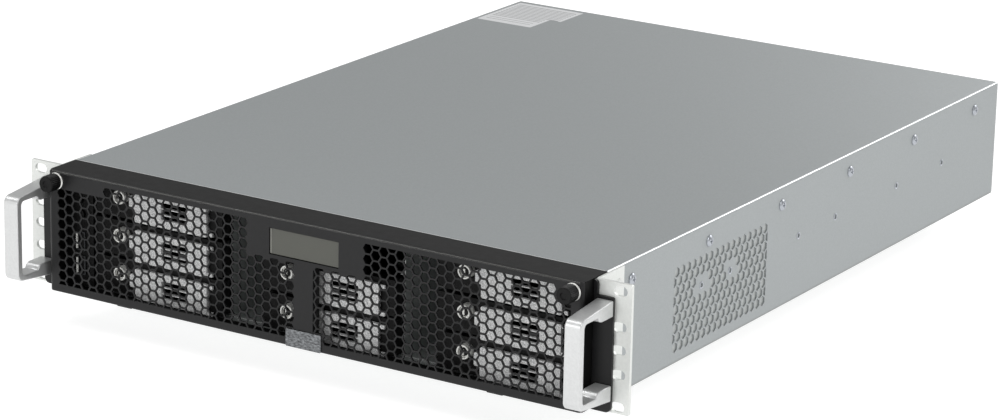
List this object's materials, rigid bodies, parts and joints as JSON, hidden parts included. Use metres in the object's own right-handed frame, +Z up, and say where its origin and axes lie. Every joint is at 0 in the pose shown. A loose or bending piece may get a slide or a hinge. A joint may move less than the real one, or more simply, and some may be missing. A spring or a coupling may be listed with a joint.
{
  "type": "rack-mount network storage enclosure",
  "caption": "Two-unit rack-mount storage enclosure with pull handles, a drop-down perforated door with a display, hot-swap drive trays and rear power modules.",
  "frame": {"origin": "middle of the bounding box seen from above, at the underside of the chassis", "axes": "+Z up, -Y towards the door and handles, +X to the right seen from the front"},
  "size_m": [0.4826, 0.656, 0.0878],
  "materials": {
    "galvanised_steel": "satin zinc-coated sheet",
    "bright_steel": "bright plated steel",
    "cast_aluminium": "fine satin",
    "black_steel": "satin black powder coat",
    "black_plastic": "fine matt moulding",
    "silver_plastic": "silver-grey with a fine grain",
    "badge_silver": "plain glossy silver plate",
    "lock_chrome": "polished",
    "display_glass": "grey-olive unlit display behind a clear window",
    "circuit_board": "green solder mask"
  },
  "bodies": {
    "chassis": {"chassis_base": "galvanised_steel", "top_cover": "galvanised_steel", "rear_panel": "galvanised_steel", "front_frame": "black_steel", "drive_cage": "galvanised_steel", "backplane": "circuit_board", "control_panel": "black_plastic", "usb_port_lower": "bright_steel", "usb_port_upper": "bright_steel", "fan_wall": "black_plastic", "motherboard": "circuit_board", "cpu_heatsink": "cast_aluminium", "io_block": "bright_steel", "psu_cage": "galvanised_steel", "rack_ear_left": "bright_steel", "handle_bracket_left": "black_steel", "handle_left": "cast_aluminium", "hinge_pin_left": "bright_steel", "rack_ear_right": "bright_steel", "handle_bracket_right": "black_steel", "handle_right": "cast_aluminium", "hinge_pin_right": "bright_steel"},
    "door": {"door_panel": "black_steel", "display_housing": "black_plastic", "display_window": "display_glass", "badge_plate": "badge_silver"},
    "thumbscrew_left": {"thumbscrew_left": "black_steel"},
    "thumbscrew_right": {"thumbscrew_right": "black_steel"},
    "tray_left_upper": {"tray_left_upper": "black_plastic", "tray_lever_left_upper": "silver_plastic"},
    "tray_lock_left_upper": {"tray_lock_left_upper": "lock_chrome"},
    "tray_left_middle": {"tray_left_middle": "black_plastic", "tray_lever_left_middle": "silver_plastic"},
    "tray_lock_left_middle": {"tray_lock_left_middle": "lock_chrome"},
    "tray_left_lower": {"tray_left_lower": "black_plastic", "tray_lever_left_lower": "silver_plastic"},
    "tray_lock_left_lower": {"tray_lock_left_lower": "lock_chrome"},
    "tray_centre_middle": {"tray_centre_middle": "black_plastic", "tray_lever_centre_middle": "silver_plastic"},
    "tray_lock_centre_middle": {"tray_lock_centre_middle": "lock_chrome"},
    "tray_centre_lower": {"tray_centre_lower": "black_plastic", "tray_lever_centre_lower": "silver_plastic"},
    "tray_lock_centre_lower": {"tray_lock_centre_lower": "lock_chrome"},
    "tray_right_upper": {"tray_right_upper": "black_plastic", "tray_lever_right_upper": "silver_plastic"},
    "tray_lock_right_upper": {"tray_lock_right_upper": "lock_chrome"},
    "tray_right_middle": {"tray_right_middle": "black_plastic", "tray_lever_right_middle": "silver_plastic"},
    "tray_lock_right_middle": {"tray_lock_right_middle": "lock_chrome"},
    "tray_right_lower": {"tray_right_lower": "black_plastic", "tray_lever_right_lower": "silver_plastic"},
    "tray_lock_right_lower": {"tray_lock_right_lower": "lock_chrome"},
    "power_button": {"power_button": "black_plastic"},
    "reset_button": {"reset_button": "black_plastic"},
    "fan_rotor_1": {"fan_rotor_1": "black_plastic"},
    "fan_rotor_2": {"fan_rotor_2": "black_plastic"},
    "fan_rotor_3": {"fan_rotor_3": "black_plastic"},
    "psu_module_lower": {"psu_module_lower": "galvanised_steel"},
    "psu_module_upper": {"psu_module_upper": "galvanised_steel"}
  },
  "joints": [
    {"name": "door_hinge", "type": "hinge", "parent": "chassis", "child": "door", "pos_m": [0, -0.2905, 0.0022], "axis": [1, 0, 0], "range_deg": [0, 95]},
    {"name": "thumbscrew_left_turn", "type": "hinge", "parent": "door", "child": "thumbscrew_left", "pos_m": [-0.2072, -0.306, 0.081], "axis": [0, 1, 0], "continuous": true},
    {"name": "thumbscrew_right_turn", "type": "hinge", "parent": "door", "child": "thumbscrew_right", "pos_m": [0.2072, -0.306, 0.081], "axis": [0, 1, 0], "continuous": true},
    {"name": "tray_left_upper_slide", "type": "slide", "parent": "chassis", "child": "tray_left_upper", "axis": [0, -1, 0], "range_m": [0, 0.1262]},
    {"name": "tray_lock_left_upper_turn", "type": "hinge", "parent": "tray_left_upper", "child": "tray_lock_left_upper", "pos_m": [-0.16155, -0.286, 0.0746], "axis": [0, 1, 0], "range_deg": [0, 90]},
    {"name": "tray_left_middle_slide", "type": "slide", "parent": "chassis", "child": "tray_left_middle", "axis": [0, -1, 0], "range_m": [0, 0.0765]},
    {"name": "tray_lock_left_middle_turn", "type": "hinge", "parent": "tray_left_middle", "child": "tray_lock_left_middle", "pos_m": [-0.16155, -0.286, 0.0473], "axis": [0, 1, 0], "range_deg": [0, 90]},
    {"name": "tray_left_lower_slide", "type": "slide", "parent": "chassis", "child": "tray_left_lower", "axis": [0, -1, 0], "range_m": [0, 0.0267]},
    {"name": "tray_lock_left_lower_turn", "type": "hinge", "parent": "tray_left_lower", "child": "tray_lock_left_lower", "pos_m": [-0.16155, -0.286, 0.02], "axis": [0, 1, 0], "range_deg": [0, 90]},
    {"name": "tray_centre_middle_slide", "type": "slide", "parent": "chassis", "child": "tray_centre_middle", "axis": [0, -1, 0], "range_m": [0, 0.0599]},
    {"name": "tray_lock_centre_middle_turn", "type": "hinge", "parent": "tray_centre_middle", "child": "tray_lock_centre_middle", "pos_m": [-0.0213, -0.286, 0.0473], "axis": [0, 1, 0], "range_deg": [0, 90]},
    {"name": "tray_centre_lower_slide", "type": "slide", "parent": "chassis", "child": "tray_centre_lower", "axis": [0, -1, 0], "range_m": [0, 0.0143]},
    {"name": "tray_lock_centre_lower_turn", "type": "hinge", "parent": "tray_centre_lower", "child": "tray_lock_centre_lower", "pos_m": [-0.0213, -0.286, 0.02], "axis": [0, 1, 0], "range_deg": [0, 90]},
    {"name": "tray_right_upper_slide", "type": "slide", "parent": "chassis", "child": "tray_right_upper", "axis": [0, -1, 0], "range_m": [0, 0.1262]},
    {"name": "tray_lock_right_upper_turn", "type": "hinge", "parent": "tray_right_upper", "child": "tray_lock_right_upper", "pos_m": [0.11895, -0.286, 0.0746], "axis": [0, 1, 0], "range_deg": [0, 90]},
    {"name": "tray_right_middle_slide", "type": "slide", "parent": "chassis", "child": "tray_right_middle", "axis": [0, -1, 0], "range_m": [0, 0.0765]},
    {"name": "tray_lock_right_middle_turn", "type": "hinge", "parent": "tray_right_middle", "child": "tray_lock_right_middle", "pos_m": [0.11895, -0.286, 0.0473], "axis": [0, 1, 0], "range_deg": [0, 90]},
    {"name": "tray_right_lower_slide", "type": "slide", "parent": "chassis", "child": "tray_right_lower", "axis": [0, -1, 0], "range_m": [0, 0.0267]},
    {"name": "tray_lock_right_lower_turn", "type": "hinge", "parent": "tray_right_lower", "child": "tray_lock_right_lower", "pos_m": [0.11895, -0.286, 0.02], "axis": [0, 1, 0], "range_deg": [0, 90]},
    {"name": "power_button_press", "type": "slide", "parent": "chassis", "child": "power_button", "axis": [0, 1, 0], "range_m": [0, 0.0015], "stiffness_N_per_m": 400},
    {"name": "reset_button_press", "type": "slide", "parent": "chassis", "child": "reset_button", "axis": [0, 1, 0], "range_m": [0, 0.001], "stiffness_N_per_m": 300},
    {"name": "fan_rotor_1_spin", "type": "hinge", "parent": "chassis", "child": "fan_rotor_1", "pos_m": [-0.135, -0.0675, 0.0438], "axis": [0, 1, 0], "continuous": true},
    {"name": "fan_rotor_2_spin", "type": "hinge", "parent": "chassis", "child": "fan_rotor_2", "pos_m": [-0.045, -0.0675, 0.0438], "axis": [0, 1, 0], "continuous": true},
    {"name": "fan_rotor_3_spin", "type": "hinge", "parent": "chassis", "child": "fan_rotor_3", "pos_m": [0.045, -0.0675, 0.0438], "axis": [0, 1, 0], "continuous": true},
    {"name": "psu_module_lower_slide", "type": "slide", "parent": "chassis", "child": "psu_module_lower", "axis": [0, 1, 0], "range_m": [0, 0.185]},
    {"name": "psu_module_upper_slide", "type": "slide", "parent": "chassis", "child": "psu_module_upper", "axis": [0, 1, 0], "range_m": [0, 0.185]}
  ],
  "couplings": [
    {"joint": "tray_left_upper_slide", "follows": "door_hinge", "m_per_rad": 0.076},
    {"joint": "tray_left_middle_slide", "follows": "door_hinge", "m_per_rad": 0.046},
    {"joint": "tray_left_lower_slide", "follows": "door_hinge", "m_per_rad": 0.016},
    {"joint": "tray_centre_middle_slide", "follows": "door_hinge", "m_per_rad": 0.036},
    {"joint": "tray_centre_lower_slide", "follows": "door_hinge", "m_per_rad": 0.0085},
    {"joint": "tray_right_upper_slide", "follows": "door_hinge", "m_per_rad": 0.076},
    {"joint": "tray_right_middle_slide", "follows": "door_hinge", "m_per_rad": 0.046},
    {"joint": "tray_right_lower_slide", "follows": "door_hinge", "m_per_rad": 0.016}
  ]
}
